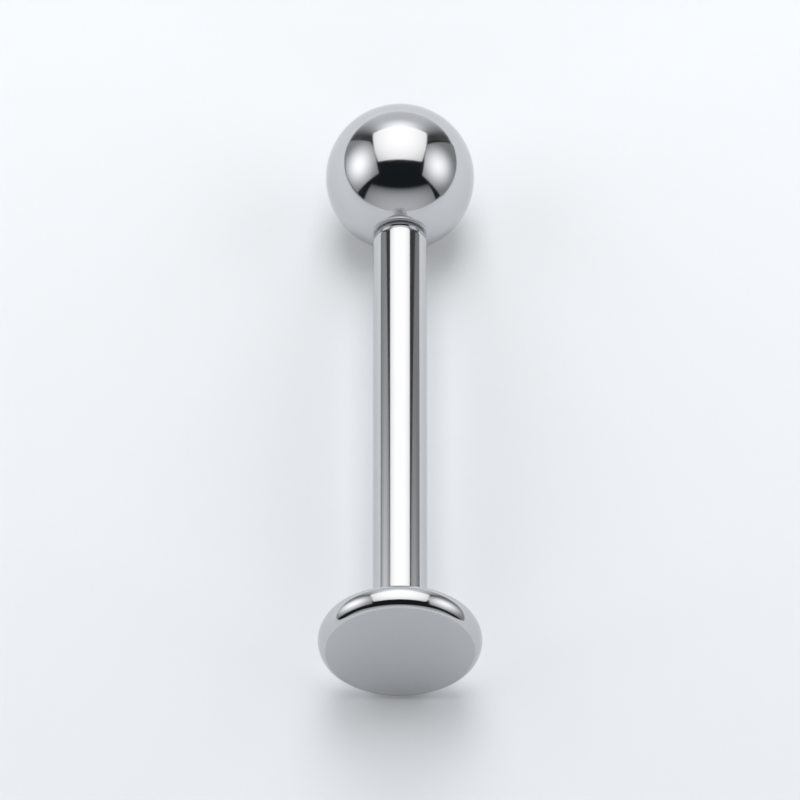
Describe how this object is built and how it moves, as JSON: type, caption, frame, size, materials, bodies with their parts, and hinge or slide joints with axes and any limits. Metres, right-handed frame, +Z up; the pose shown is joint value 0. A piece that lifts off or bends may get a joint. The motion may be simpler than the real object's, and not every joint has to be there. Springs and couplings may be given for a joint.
{
  "type": "labret stud",
  "caption": "Labret stud of polished steel: a flat round disc back and straight post in one piece, with a screw-on ball on the threaded tip.",
  "frame": {"origin": "centre of the footprint, on the surface that the stud lies on: the rim of the disc back and the ball both touch it", "axes": "+Y runs along the bar from the disc back to the ball, +Z up, +X to the right seen from the disc's flat face; the bar slopes down to the ball by 0.68 degrees"},
  "size_m": [0.0048, 0.0194, 0.0048],
  "materials": {
    "bar_steel": "mirror-polished surgical steel",
    "ball_steel": "mirror-polished surgical steel"
  },
  "bodies": {
    "bar": {"labret_bar": "bar_steel"},
    "ball": {"ball": "ball_steel"}
  },
  "joints": [
    {"name": "ball_screws_off", "type": "slide", "parent": "bar", "child": "ball", "axis": [0, 0.9999, -0.0119], "range_m": [0, 0.0024]}
  ]
}
